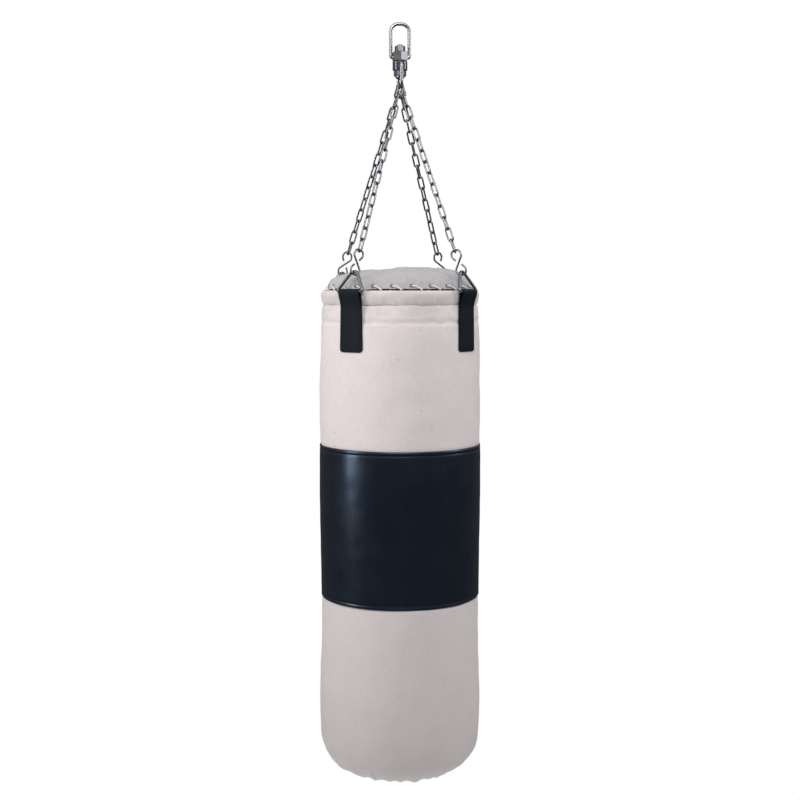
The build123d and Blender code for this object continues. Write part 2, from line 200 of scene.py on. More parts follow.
def weave_height(tree, pitch):
    """Height of a plain weave over UV in metres: warp and weft pass over each other in turn."""
    uv = add(tree, "ShaderNodeSeparateXYZ", {0: place(tree, "UV", (math.pi / pitch,) * 2 + (1,))})
    across, along = uv.outputs["X"], uv.outputs["Y"]
    warp = calc(tree, "ABSOLUTE", calc(tree, "COSINE", across))
    weft = calc(tree, "ABSOLUTE", calc(tree, "COSINE", along))
    turn = calc(tree, "MULTIPLY", calc(tree, "SINE", across), calc(tree, "SINE", along))
    over = calc(tree, "GREATER_THAN", turn, 0.0)
    warp_on = calc(tree, "MULTIPLY", warp, over)
    weft_on = calc(tree, "MULTIPLY", weft, calc(tree, "SUBTRACT", 1.0, over))
    return calc(tree, "ADD", warp_on, weft_on)


def canvas_material(name, light, dark, pitch, soil_and_shade, soil_and_shade_colour):
    """Plain-woven cotton canvas with slubs, mottling, specks, painted shade in the weave's hollows,
    and darkening near the rim and towards the bottom, the latter partly soil and partly painted
    shade.
    """
    made, tree, shader = new_material(name, Sheen_Weight=0.18, Sheen_Roughness=0.6,
                                      Specular_IOR_Level=0.2)
    weave = weave_height(tree, pitch)
    slub_warp = noise(tree, place(tree, "UV", (620, 55, 1)), detail=2)
    slub_weft = noise(tree, place(tree, "UV", (55, 620, 1)), detail=2)
    slubs = calc(tree, "MULTIPLY", calc(tree, "ADD", slub_warp, slub_weft), 0.5)
    grain = ramp(tree, slubs, (0.36, dark), (0.62, light))
    clouds = noise(tree, place(tree), 11, 4, 0.6)
    body = mix(tree, ramp(tree, clouds, (0.38, 0.0), (0.7, 0.35)), grain, (*dark, 1))
    fine = noise(tree, place(tree), 260, 2, 0.5)
    body = mix(tree, ramp(tree, fine, (0.66, 0.0), (0.78, 0.30)), body, (*soil_and_shade_colour, 1))
    specks = noise(tree, place(tree), 95, 1, 0.4)
    body = mix(tree, ramp(tree, specks, (0.74, 0.0), (0.78, 0.45)), body, (*soil_and_shade_colour, 1))
    height = add(tree, "ShaderNodeSeparateXYZ", {0: place(tree)}).outputs["Z"]
    # darker near the rim and towards the bottom; towards the bottom this is partly soil and partly
    # painted shade standing in for the lights falling off down the bag
    low = calc(tree, "MULTIPLY_ADD", clouds, 0.25, height)
    drop = calc(tree, "MULTIPLY", calc(tree, "SUBTRACT", low, RIM + 0.15), -1.0)
    wear_and_shade = ramp(tree, drop, (0.05, soil_and_shade * 0.45), (0.10, 0.0), (0.60, soil_and_shade * 0.28),
                (0.80, soil_and_shade * 0.55), (0.98, soil_and_shade))
    body = mix(tree, wear_and_shade, body, (*soil_and_shade_colour, 1))
    # painted shade in the hollows of the weave
    weave_hollow_shade = calc(tree, "MULTIPLY", calc(tree, "SUBTRACT", 1.0, weave), 0.18)
    body = mix(tree, weave_hollow_shade, body, (*soil_and_shade_colour, 1))
    tree.links.new(body, shader.inputs["Base Color"])
    tree.links.new(ramp(tree, clouds, (0.3, 0.82), (0.7, 0.95)), shader.inputs["Roughness"])
    coarse = bump(tree, slubs, 0.5 * MM, 0.55)
    tree.links.new(bump(tree, weave, 0.25 * MM, 0.6, coarse), shader.inputs["Normal"])
    return made


def hide_material(name, dark, wear_and_shade, grain, shine, gleam, pitch=0.0):
    """Black coated cloth or vinyl: pebbled grain, rubbed patches and a soft gloss."""
    made, tree, shader = new_material(name, Specular_IOR_Level=gleam[0],
                                      Specular_Tint=(*gleam[1:], 1))
    pebbles = add(tree, "ShaderNodeTexVoronoi", {"Vector": place(tree), "Scale": grain},
                  feature="SMOOTH_F1").outputs["Distance"]
    patches = noise(tree, place(tree), 16, 5, 0.6)
    scuffs = noise(tree, place(tree, "Object", (120, 120, 14)), 1, 4, 0.7)
    rubbed = calc(tree, "MULTIPLY", ramp(tree, scuffs, (0.58, 0.0), (0.75, 1.0)),
                  ramp(tree, patches, (0.45, 0.0), (0.7, 0.6)))
    tree.links.new(mix(tree, rubbed, (*dark, 1), (*wear_and_shade, 1)), shader.inputs["Base Color"])
    low, high = shine
    gloss = calc(tree, "MULTIPLY_ADD", rubbed, 0.15,
                 ramp(tree, patches, (0.35, low), (0.65, high)))
    tree.links.new(gloss, shader.inputs["Roughness"])
    surface = bump(tree, pebbles, 0.12 * MM, 0.35)
    soft = bump(tree, patches, 0.8 * MM, 0.25, surface)
    if pitch:
        soft = bump(tree, weave_height(tree, pitch), 0.3 * MM, 0.6, soft)
    tree.links.new(soft, shader.inputs["Normal"])
    return made


def metal_material(name, colour, dull, shine, streak, grime):
    """Steel with drawn streaks, stains and roughness that varies."""
    made, tree, shader = new_material(name, Metallic=1.0)
    stains = noise(tree, place(tree), 130, 5, 0.65)
    lines = noise(tree, place(tree, "Object", (380, 380, 60)), 1, 3, 0.6)
    tone = mix(tree, ramp(tree, stains, (0.42, 0.0), (0.72, grime)), (*colour, 1), (*dull, 1))
    tone = mix(tree, ramp(tree, lines, (0.35, 0.0), (0.75, 0.35)), tone, (*dull, 1))
    tree.links.new(tone, shader.inputs["Base Color"])
    low, high = shine
    tree.links.new(ramp(tree, stains, (0.3, low), (0.7, high)), shader.inputs["Roughness"])
    tree.links.new(bump(tree, lines, streak, 0.35), shader.inputs["Normal"])
    return made


def cord_material(name, colour, shade):
    """Braided cotton: twisted yarns over UV, with fuzz and soil."""
    made, tree, shader = new_material(name, Roughness=0.9, Sheen_Weight=0.3)
    yarn = add(tree, "ShaderNodeTexWave", {"Vector": place(tree, "UV", (700, 700, 1)),
                                           "Scale": 1.0, "Distortion": 1.5, "Detail": 2.0},
               bands_direction="DIAGONAL").outputs["Fac"]
    dirt = noise(tree, place(tree), 60, 4, 0.6)
    tone = mix(tree, ramp(tree, dirt, (0.4, 0.0), (0.75, 0.6)), (*colour, 1), (*shade, 1))
    tone = mix(tree, calc(tree, "MULTIPLY", yarn, 0.25), tone, (*shade, 1))
    tree.links.new(tone, shader.inputs["Base Color"])
    tree.links.new(bump(tree, yarn, 0.2 * MM, 0.6), shader.inputs["Normal"])
    return made


def enamel_material(name):
    """Glossy dark blue-black enamel over steel, chipped to metal here and there."""
    made, tree, shader = new_material(name, Specular_IOR_Level=0.6, Coat_Weight=0.6,
                                      Coat_Roughness=0.12)
    chips = noise(tree, place(tree), 420, 4, 0.7)
    bare = ramp(tree, chips, (0.68, 0.0), (0.71, 1.0))
    haze = noise(tree, place(tree), 90, 3, 0.6)
    paint = mix(tree, haze, (0.018, 0.022, 0.045, 1), (0.035, 0.04, 0.065, 1))
    tree.links.new(mix(tree, bare, paint, (0.3, 0.3, 0.31, 1)), shader.inputs["Base Color"])
    tree.links.new(bare, shader.inputs["Metallic"])
    tree.links.new(ramp(tree, haze, (0.3, 0.18), (0.7, 0.34)), shader.inputs["Roughness"])
    tree.links.new(bump(tree, chips, 0.08 * MM, 0.3), shader.inputs["Normal"])
    return made


looks = {
    "canvas": canvas_material("canvas", (0.75, 0.685, 0.68), (0.66, 0.595, 0.59), 1.1 * MM, 0.78,
                              (0.42, 0.385, 0.385)),
    "lid_canvas": canvas_material("lid_canvas", (0.455, 0.44, 0.445), (0.36, 0.35, 0.355),
                                  1.1 * MM, 0.0, (0.22, 0.215, 0.22)),
    "black_vinyl": hide_material("black_vinyl", (0.0045, 0.0065, 0.011), (0.014, 0.019, 0.028),
                                 750, (0.27, 0.36), (0.85, 0.50, 0.70, 1.0)),
    "black_webbing": hide_material("black_webbing", (0.0035, 0.006, 0.0095), (0.010, 0.014, 0.019),
                                   900, (0.45, 0.60), (0.18, 0.8, 0.9, 1.0), 1.6 * MM),
    "white_cord": cord_material("white_cord", (0.80, 0.79, 0.77), (0.52, 0.50, 0.48)),
    "textile_filling": canvas_material("textile_filling", (0.48, 0.46, 0.45),
                                       (0.30, 0.31, 0.34), 3 * MM, 0.0, (0.2, 0.18, 0.17)),
    "bright_steel": metal_material("bright_steel", (0.42, 0.41, 0.42), (0.20, 0.195, 0.20),
                                   (0.26, 0.31), 0.003 * MM, 0.15),
    "zinc_steel": metal_material("zinc_steel", (0.35, 0.35, 0.36), (0.11, 0.11, 0.115),
                                 (0.26, 0.36), 0.01 * MM, 0.4),
    "chain_steel": metal_material("chain_steel", (0.25, 0.26, 0.28), (0.06, 0.062, 0.068),
                                  (0.25, 0.34), 0.008 * MM, 0.45),
    "dark_steel": enamel_material("dark_steel"),
}
for part in frame["record"]["subparts"]:
    for material_slot in nodes[part["node"]].material_slots:
        material_slot.material = looks[part["material_slot"]]

# ---- surfaces -----------------------------------------------------------------------


def polar(radius, angle, height):
    """A point at that radius and angle about the bag's axis."""
    return radius * math.cos(angle), radius * math.sin(angle), height


def near(distance, reach):
    """1 at no distance, fading to 0 at about twice the reach."""
    return np.exp(-(distance / reach) ** 2)


def finish_piece(made, slot_name, stands_for=()):
    """Gives a piece of the bag its material and its body, and hides the CAD nodes it stands for."""
    made.data.materials.clear()
    made.data.materials.append(looks[slot_name])
    made.data.shade_smooth()
    made.data.set_sharp_from_angle(angle=math.radians(50))
    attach(made, "bag")
    if stands_for:
        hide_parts(*stands_for)
    return made


def mesh_object(name, points, faces, corner_uv=None):
    """A new object from points, faces and one UV per face corner."""
    data = bpy.data.meshes.new(name)
    data.from_pydata(np.asarray(points, float).reshape(-1, 3).tolist(), [], faces)
    if corner_uv is not None:
        layer = data.uv_layers.new(name="UVMap")
        layer.data.foreach_set("uv", np.asarray(corner_uv, np.float32).ravel())
    data.validate()
    made = bpy.data.objects.new(name, data)
    scene.collection.objects.link(made)
    return made


def face_outwards(made):
    """Turns every face of a closed mesh outwards."""
    shell = bmesh.new()
    shell.from_mesh(made.data)
    bmesh.ops.recalc_face_normals(shell, faces=shell.faces)
    shell.to_mesh(made.data)
    shell.free()


def bake_modifiers(made):
    """Applies every modifier on an object to its mesh."""
    bpy.context.view_layer.update()
    solved = made.evaluated_get(bpy.context.evaluated_depsgraph_get())
    data = bpy.data.meshes.new_from_object(solved)
    data.name = made.name
    made.modifiers.clear()
    made.data = data
    return made


def thicken(made, thickness):
    """Makes a cloth surface a closed body of that thickness, grown inwards."""
    modifier = made.modifiers.new("thickness", "SOLIDIFY")
    modifier.thickness = thickness
    modifier.offset = -1
    modifier.use_even_offset = True
    return bake_modifiers(made)


def grid_faces(rows, columns):
    """Quads of a closed grid whose rows run downwards, facing outwards, with their (row, column)s."""
    faces, spots = [], []
    for i in range(rows - 1):
        for j in range(columns):
            k = (j + 1) % columns
            faces.append((i * columns + j, (i + 1) * columns + j,
                          (i + 1) * columns + k, i * columns + k))
            spots += [(i, j), (i + 1, j), (i + 1, j + 1), (i, j + 1)]
    return faces, np.array(spots)


def grid_object(name, points, radius):
    """A closed tube of cloth from a grid of points. UV is in metres: round, then down."""
    columns = points.shape[1]
    width = 2 * math.pi * radius
    faces, spots = grid_faces(*points.shape[:2])
    steps = np.linalg.norm(np.diff(points, axis=0), axis=2).mean(axis=1)
    down = np.concatenate([[0], np.cumsum(steps)])
    uv = np.stack([spots[:, 1] * width / columns, down[spots[:, 0]]], axis=1)
    return mesh_object(name, points, faces, uv)


def turned(outline, segments=SEGMENTS):
    """Grid of points from (radius, height) pairs turned about the bag's axis."""
    radius, height = np.array(outline).T
    angle = np.arange(segments) * 2 * math.pi / segments
    return np.stack([radius[:, None] * np.cos(angle), radius[:, None] * np.sin(angle),
                     height[:, None] + 0 * angle], axis=-1)


def grid_normals(points):
    """Outward normals of a grid of points."""
    around = np.roll(points, -1, axis=1) - np.roll(points, 1, axis=1)
    normal = np.cross(np.gradient(points, axis=0), around)
    return normal / np.maximum(np.linalg.norm(normal, axis=2, keepdims=True), 1e-12)


def lumps(points, size, seed, waves=30):
    """Smooth unevenness of about that size, of unit strength, the same every run."""
    rng = np.random.default_rng(seed)
    total = np.zeros(points.shape[:-1])
    for _ in range(waves):
        heading = rng.normal(size=3)
        heading *= 2 * math.pi / (size * rng.uniform(0.7, 1.7)) / np.linalg.norm(heading)
        total += np.cos(points @ heading + rng.uniform(0, 2 * math.pi))
    return total * math.sqrt(2 / waves)


def folds(points, away, count, reach, seed, width=0.045):
    """Short gathers that start at a seam: away is the distance from it."""
    rng = np.random.default_rng(seed)
    angle = np.arctan2(points[..., 1], points[..., 0])
    total = np.zeros(away.shape)
    for k in range(count):
        middle = (k + rng.uniform(-0.35, 0.35)) * 2 * math.pi / count
        lean = rng.uniform(-0.5, 0.5)
        offset = (angle - middle - lean * away + math.pi) % (2 * math.pi) - math.pi
        spread = width * rng.uniform(0.5, 1.1)
        length = reach * rng.uniform(0.45, 1.3)
        total += rng.uniform(0.4, 1.0) * np.exp(-(offset / spread) ** 2 - (away / length) ** 2)
    return total


def node_tree(name):
    """Search tree over a CAD node's mesh."""
    data = nodes[name].data
    return BVHTree.FromPolygons([v.co for v in data.vertices],
                                [p.vertices for p in data.polygons])


def wall_outline(name, heights):
    """(radius, height) of a CAD wall's outside at those heights."""
    tree = node_tree(name)
    low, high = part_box(name)
    outline = []
    for height in heights:
        level = min(max(height, low.z + 0.2 * MM), high.z - 0.2 * MM)
        found = []
        for k in range(16):
            a = math.radians(22.5 * k + 3)
            out_there = Vector((math.cos(a), math.sin(a), 0))
            hit = tree.ray_cast(out_there + Vector((0, 0, level)), -out_there)[0]
            if hit:
                found.append(math.hypot(hit.x, hit.y))
        outline.append((max(found), height))
    return outline


def relax(points, faces, pinned, pressure, growth, cap, bend=0.8, frames=20):
    """Runs cloth on a surface. Returns its points, none moved further than cap."""
    start = np.asarray(points, float).reshape(-1, 3)
    made = mesh_object("relaxing", start, faces)
    group = made.vertex_groups.new(name="sewn")
    group.add([int(k) for k in pinned], 1.0, "REPLACE")
    cloth = made.modifiers.new("cloth", "CLOTH")
    settings = cloth.settings
    settings.quality = 4
    settings.mass = 0.3
    settings.tension_stiffness = settings.compression_stiffness = 15
    settings.shear_stiffness = 6
    settings.bending_stiffness = bend
    settings.use_pressure = True
    settings.uniform_pressure_force = pressure
    settings.shrink_min = -growth
    settings.vertex_group_mass = "sewn"
    settings.effector_weights.gravity = 0
    cloth.collision_settings.use_collision = False
    cloth.point_cache.frame_start, cloth.point_cache.frame_end = 1, frames
    for step in range(1, frames + 1):
        scene.frame_set(step)
    solved = made.evaluated_get(bpy.context.evaluated_depsgraph_get())
    moved = np.array([v.co for v in solved.data.vertices], float)
    bpy.data.objects.remove(made)
    scene.frame_set(1)
    shift = moved - start
    length = np.linalg.norm(shift, axis=1, keepdims=True)
    shift *= np.minimum(1, cap / np.maximum(length, 1e-9))
    return (start + shift).reshape(points.shape)


def surface_tree(made):
    """Search tree over a finished piece."""
    return BVHTree.FromObject(made, bpy.context.evaluated_depsgraph_get())


def even_points(line, pitch, closed):
    """Points at an even pitch along a polyline, with their tangents."""
    line = np.asarray(line, float)
    if closed:
        line = np.vstack([line, line[:1]])
    steps = np.linalg.norm(np.diff(line, axis=0), axis=1)
    run = np.concatenate([[0], np.cumsum(steps)])
    count = max(2, round(run[-1] / pitch))
    at = (np.arange(count) + 0.5) * run[-1] / count
    spots = np.stack([np.interp(at, run, line[:, k]) for k in range(3)], axis=1)
    ahead = np.stack([np.interp(np.minimum(at + pitch / 2, run[-1]), run, line[:, k])
                      for k in range(3)], axis=1)
    return spots, ahead - spots


# along half a stitch's length: (place, fatness)
STITCH_STATIONS = ((-1.0, 0.05), (-0.86, 0.6), (-0.5, 0.95), (0.0, 1.0), (0.5, 0.95),
                   (0.86, 0.6), (1.0, 0.05))
STITCH_SIDES = 6
STITCH_LIFT = 0.15  # of the thread's thickness, at the middle of a stitch
STITCH_DIP = 0.75  # further down at its ends


def sew(name, lines, tree, slot_name, pitch=6.5 * MM, length=4.6 * MM, thick=0.95 * MM,
        closed=True):
    """Stitches along lines, each a small bent strand seated on a piece's surface."""
    points, faces = [], []
    for line in lines:
        spots, tangents = even_points(line, pitch, closed)
        for spot, tangent in zip(spots, tangents):
            seat, normal = tree.find_nearest(Vector(spot))[:2]
            along = Vector(tangent) - normal * Vector(tangent).dot(normal)
            along.normalize()
            side = normal.cross(along)
            first = len(points)
            for at, fat in STITCH_STATIONS:
                sink = thick * (STITCH_LIFT - STITCH_DIP * at * at)
                middle = seat + along * (at * length / 2) + normal * sink
                for k in range(STITCH_SIDES):
                    a = 2 * math.pi * k / STITCH_SIDES
                    points.append(middle + (side * math.cos(a) + normal * math.sin(a))
                                  * fat * thick / 2)
            stations = len(STITCH_STATIONS)
            for i in range(stations - 1):
                for k in range(STITCH_SIDES):
                    n = (k + 1) % STITCH_SIDES
                    a, b = first + i * STITCH_SIDES, first + (i + 1) * STITCH_SIDES
                    faces.append((a + k, a + n, b + n, b + k))
            faces.append(tuple(first + k for k in reversed(range(STITCH_SIDES))))
            end = first + (stations - 1) * STITCH_SIDES
            faces.append(tuple(end + k for k in range(STITCH_SIDES)))
    made = mesh_object(name, points, faces)
    face_outwards(made)
    return finish_piece(made, slot_name)


def ring_line(radius, height, count=360):
    """A level circle about the bag's axis."""
    a = np.arange(count) * 2 * math.pi / count
    return np.stack([radius * np.cos(a), radius * np.sin(a), height + 0 * a], axis=1)


def smooth_step(value, start, end):
    """0 before start, 1 after end, smooth between."""
    t = np.clip((value - start) / (end - start), 0, 1)
    return t * t * (3 - 2 * t)


def seam_ridge(points, height=0.7 * MM, half=6.5 * MM):
    """The raised lap of the upright seam at the back."""
    angle = np.arctan2(points[..., 1], points[..., 0])
    radius = np.hypot(points[..., 0], points[..., 1])
    off = np.abs((angle - SEAM_ANGLE + math.pi) % (2 * math.pi) - math.pi) * radius
    return height * (1 - smooth_step(off, half - 1.5 * MM, half + 2.5 * MM))


def upright_lines(top, bottom, radius, gap=4 * MM):
    """Two upright stitch lines, one each side of the back seam's middle."""
    angles = [SEAM_ANGLE + side * gap / radius for side in (-1, 1)]
    return [[polar(radius, a, height) for height in np.linspace(top, bottom, 80)]
            for a in angles]


# ---- bag walls ----------------------------------------------------------------------

CLOTH = 2.2 * MM
upper_top, upper_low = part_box("upper_panel")[1].z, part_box("upper_panel")[0].z
band_top, band_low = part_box("middle_band")[1].z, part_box("middle_band")[0].z
lower_top, lower_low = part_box("lower_panel")[1].z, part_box("lower_panel")[0].z
seam_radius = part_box("bottom_panel")[1].x


def levels(top, bottom, step=ROW):
    """Evenly spaced heights from top to bottom."""
    return np.linspace(top, bottom, max(2, round((top - bottom) / step) + 1))


def wall_grid(outline, pressure, growth, cap):
    """A turned outline after cloth has relaxed between its sewn edges."""
    points = turned(outline)
    rows, columns = points.shape[:2]
    faces, _ = grid_faces(rows, columns)
    pinned = [*range(columns), *range((rows - 1) * columns, rows * columns)]
    return relax(points, faces, pinned, pressure, growth, cap)


# upper canvas
outline = wall_outline("upper_panel", levels(upper_top, upper_low))
points = wall_grid(outline, 4.0, 0.006, 3 * MM)
normal = grid_normals(points)
below_hem = upper_top - points[..., 2]
above_band = points[..., 2] - upper_low
swell = 0.55 * MM * lumps(points, 0.16, 11) + 0.30 * MM * lumps(points, 0.055, 12)
swell += 1.5 * MM * folds(points, below_hem, 46, 0.022, 13)
swell -= 0.5 * MM * near(below_hem, 6 * MM)
swell += 0.35 * MM * folds(points, above_band, 60, 0.010, 14)
swell *= 1 - 0.5 * near(above_band, 4 * MM)
points = points + normal * (swell + seam_ridge(points))[..., None]
upper_canvas = thicken(grid_object("upper_canvas", points, UPPER_RADIUS), CLOTH)
finish_piece(upper_canvas, "canvas", stands_for=("upper_panel",))
sew("upper_canvas_stitching", upright_lines(upper_top - 0.004, upper_low + 0.004, 0.166),
    surface_tree(upper_canvas), "canvas", closed=False)

# middle band: turned edges a little proud of the canvas, a sewn groove inside each
BAND_PROUD = 1.0 * MM
GROOVE_IN = 8.5 * MM
edge_rows = np.array([0.0, 0.35, 0.9, 1.8, 3.2, 5.0, 6.6, 7.6, 8.5, 9.4, 10.4, 12.0]) * MM
heights = np.concatenate([band_top - edge_rows,
                          levels(band_top - 15 * MM, band_low + 15 * MM),
                          band_low + edge_rows[::-1]])
outline = wall_outline("middle_band", heights)
points = wall_grid(outline, 4.0, 0.003, 2 * MM)
normal = grid_normals(turned(outline))
from_edge = np.minimum(band_top - heights, heights - band_low)[:, None] + 0 * points[..., 0]
rounding = -2.0 * MM * np.exp(-from_edge / (0.9 * MM))
groove = -0.75 * MM * near(from_edge - GROOVE_IN, 1.5 * MM)
edge_roll = 0.35 * MM * near(from_edge - 4.0 * MM, 2.4 * MM)
swell = 0.40 * MM * lumps(points, 0.17, 21) + 0.12 * MM * lumps(points, 0.05, 22)
swell += 0.25 * MM * folds(points, np.abs(from_edge - GROOVE_IN), 110, 0.012, 23, 0.02)
points = points + normal * (BAND_PROUD + rounding + groove + edge_roll + swell
                            + seam_ridge(points, 0.5 * MM))[..., None]
band = thicken(grid_object("band", points, BAND_RADIUS), CLOTH)
finish_piece(band, "black_vinyl", stands_for=("middle_band",))
sew("band_stitching",
    [ring_line(0.166, band_top - GROOVE_IN), ring_line(0.1645, band_low + GROOVE_IN)],
    surface_tree(band), "black_webbing", pitch=6.9 * MM, length=5.0 * MM, thick=1.1 * MM)
sew("band_seam_stitching", upright_lines(band_top - 0.012, band_low + 0.012, 0.166),
    surface_tree(band), "black_webbing", closed=False)

# lower canvas: the wall, then the round turn under to the bottom seam
SIDE_DROP = 286.5 * MM  # from the band down to where the wall turns under
side_end = lower_top - SIDE_DROP
side = wall_outline("lower_panel", levels(lower_top, side_end))
turn_tree = node_tree("lower_panel")
focus = Vector((seam_radius - 0.012, 0, side_end + 0.004))
under = []
for a in np.linspace(-0.012, math.pi / 2 - 0.135, 27)[1:]:
    out_there = Vector((math.cos(a), 0, -math.sin(a)))
    hit = turn_tree.ray_cast(focus + out_there, -out_there)[0]
    if hit:
        under.append((hit.x, hit.z))
under = [spot for spot in under if spot[1] < side_end - 2 * MM]
outline = side + under + [(seam_radius + 0.4 * MM, lower_low + 0.1 * MM)]
points = wall_grid(outline, 4.0, 0.006, 3.5 * MM)
normal = grid_normals(points)
steps = np.linalg.norm(np.diff(np.array(outline), axis=0), axis=1)
run = np.concatenate([[0], np.cumsum(steps)])
to_seam = (run[-1] - run)[:, None] + 0 * points[..., 0]
below_band = run[:, None] + 0 * points[..., 0]
swell = 0.6 * MM * lumps(points, 0.15, 31) + 0.3 * MM * lumps(points, 0.05, 32)
swell += 0.35 * MM * folds(points, below_band, 60, 0.010, 33)
swell += 4.2 * MM * (folds(points, to_seam, 40, 0.052, 34, 0.05)
                    - 0.35 * near(to_seam, 50 * MM))
swell += 1.4 * MM * folds(points, to_seam, 64, 0.085, 35, 0.03)
swell *= 1 - 0.85 * near(to_seam, 6 * MM)
ridge = seam_ridge(points) * (1 - near(to_seam, 50 * MM))
points = points + normal * (swell + ridge)[..., None]
lower_canvas = thicken(grid_object("lower_canvas", points, LOWER_RADIUS), CLOTH)
finish_piece(lower_canvas, "canvas", stands_for=("lower_panel",))
lower_tree = surface_tree(lower_canvas)
sew("lower_canvas_stitching", upright_lines(lower_top - 0.004, side_end - 0.01, 0.167),
    lower_tree, "canvas", closed=False)
sew("bottom_seam_stitching", [ring_line(seam_radius + 5 * MM, lower_low + 0.5 * MM)],
    lower_tree, "canvas", pitch=7.5 * MM)

# ---- discs: bottom and lid ----------------------------------------------------------


def disc(rings, outline):
    """A disc of near-equal triangles: ring k has 6k points. outline(k) is (radius, height)."""
    points = [(0, 0, outline(0)[1])]
    starts = [0]
    for k in range(1, rings + 1):
        starts.append(len(points))
        radius, height = outline(k)
        for j in range(6 * k):
            points.append(polar(radius, 2 * math.pi * j / (6 * k), height))
    faces = []
    for k in range(1, rings + 1):
        outer = [starts[k] + j for j in range(6 * k)]
        inner = [starts[k - 1] + j for j in range(max(1, 6 * (k - 1)))]
        for sector in range(6):
            for i in range(k):
                a = outer[sector * k + i]
                b = outer[(sector * k + i + 1) % len(outer)]
                c = inner[(sector * (k - 1) + i) % len(inner)]
                faces.append((a, b, c))
                if i < k - 1:
                    d = inner[(sector * (k - 1) + i + 1) % len(inner)]
                    faces.append((c, b, d))
    points = np.array(points)
    uv = [points[v, :2] for face in faces for v in face]
    return points, faces, np.array(uv), starts


def smooth_up(made):
    """One step of subdivision, applied."""
    modifier = made.modifiers.new("smooth", "SUBSURF")
    modifier.levels = modifier.render_levels = 1
    return bake_modifiers(made)


def punch(made, holes):
    """Opens round holes in a surface for the eyelets: holes are (centre, axis)."""
    radius = HOLE_RADIUS
    shell = bmesh.new()
    shell.from_mesh(made.data)
    shell.verts.ensure_lookup_table()
    for centre, axis in holes:
        close_by = [v for v in shell.verts if (v.co - centre).length < 4 * radius]
        gone = set()
        for v in close_by:
            for f in v.link_faces:
                off = f.calc_center_median() - centre
                if (off - axis * off.dot(axis)).length < radius and abs(off.dot(axis)) < 4 * MM:
                    gone.add(f)
        bmesh.ops.delete(shell, geom=list(gone), context="FACES")
        for v in shell.verts:
            off = v.co - centre
            if v.is_boundary and off.length < 3 * radius:
                flat = off - axis * off.dot(axis)
                if 0 < flat.length < 1.6 * radius:
                    v.co = v.co - flat + flat.normalized() * radius
    shell.to_mesh(made.data)
    shell.free()


# bottom
bottom_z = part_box("bottom_panel")[0].z
BOTTOM_RINGS = 24


def bottom_outline(k):
    """The bottom's slight belly between its seam and its middle."""
    part = k / BOTTOM_RINGS
    sag = (lower_low + 1.2 * MM - bottom_z) * part ** 3
    return (seam_radius - 0.4 * MM) * part, bottom_z + sag


points, faces, uv, starts = disc(BOTTOM_RINGS, bottom_outline)
faces = [face[::-1] for face in faces]
uv = uv.reshape(-1, 3, 2)[:, ::-1].reshape(-1, 2)
edge = range(starts[-1], len(points))
points = relax(points, faces, edge, 3.0, 0.008, 3 * MM)
radial = seam_radius - np.hypot(points[:, 0], points[:, 1])
points[:, 2] -= 1.1 * MM * folds(points, radial, 36, 0.03, 41, 0.06) * smooth_step(
    radial, 0, 6 * MM) + 0.5 * MM * lumps(points, 0.05, 42)
points[:, 2] = np.maximum(points[:, 2], cad_low.z - 6 * MM)
bottom = smooth_up(mesh_object("bottom_canvas", points, faces, uv))
thicken(bottom, CLOTH)
finish_piece(bottom, "canvas", stands_for=("bottom_panel",))
sew("bottom_disc_stitching", [ring_line(seam_radius - 6 * MM, lower_low - 0.5 * MM)],
    surface_tree(bottom), "canvas", pitch=7.5 * MM)

# lid
LID_RINGS = 40
LID_SHIFT = (24 * MM, -4 * MM)
LID_SETTLE = 10 * MM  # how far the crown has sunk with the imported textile
lid_tree = node_tree("lid")
lid_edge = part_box("lid")[1].x
lid_line = []
for radius in np.concatenate([np.linspace(0, 0.13, 60), np.linspace(0.131, lid_edge, 60)]):
    reach = min(max(radius, 1 * MM), lid_edge - 0.3 * MM)
    found = [lid_tree.ray_cast(Vector((reach * math.cos(a), reach * math.sin(a), 1)),
                               Vector((0, 0, -1)))[0] for a in (0.11, 0.73, 1.9, 3.7)]
    lid_line.append((radius, max(hit.z for hit in found if hit)))
lid_line = np.array(lid_line)
lid_run = np.concatenate([[0], np.cumsum(np.linalg.norm(np.diff(lid_line, axis=0), axis=1))])


def lid_outline(k):
    """(radius, height) at an even step along the lid's dome."""
    at = lid_run[-1] * k / LID_RINGS
    return np.interp(at, lid_run, lid_line[:, 0]), np.interp(at, lid_run, lid_line[:, 1])


LID_EYELET = (147.0 * MM, RIM + 9.0 * MM)  # from the axis, and height
LID_LEAN = math.radians(58)
lid_angles = [2 * math.pi * k / LACES for k in range(LACES)]
lid_holes = [(Vector(polar(LID_EYELET[0], a, LID_EYELET[1])),
              Vector(polar(math.sin(LID_LEAN), a, math.cos(LID_LEAN)))) for a in lid_angles]
points, faces, uv, starts = disc(LID_RINGS, lid_outline)
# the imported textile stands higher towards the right, so the dome leans that way
reach = np.hypot(points[:, 0], points[:, 1])
loose = (1 - smooth_step(reach, 0.04, 0.136)) ** 0.8
shoulder = smooth_step(reach, 0.02, 0.09) * (1 - smooth_step(reach, 0.105, 0.138))
points[:, 0] += LID_SHIFT[0] * loose
points[:, 1] += LID_SHIFT[1] * loose
points[:, 2] += (points[:, 0] / 0.15) * 2.5 * MM * shoulder
points[:, 2] -= LID_SETTLE * (1 - smooth_step(reach, 0.05, 0.145))
rest = points.copy()
from_eyelet = np.min([np.linalg.norm(points - np.array(hole[0]), axis=1) for hole in lid_holes],
                     axis=0)
pinned = [k for k in range(len(points)) if from_eyelet[k] < 5.2 * MM or k >= starts[-1]]
points = relax(points, faces, pinned, 2.5, 0.022, 4.5 * MM, bend=0.25, frames=24)
angle = np.arctan2(points[:, 1], points[:, 0])
reach = np.hypot(rest[:, 0], rest[:, 1])
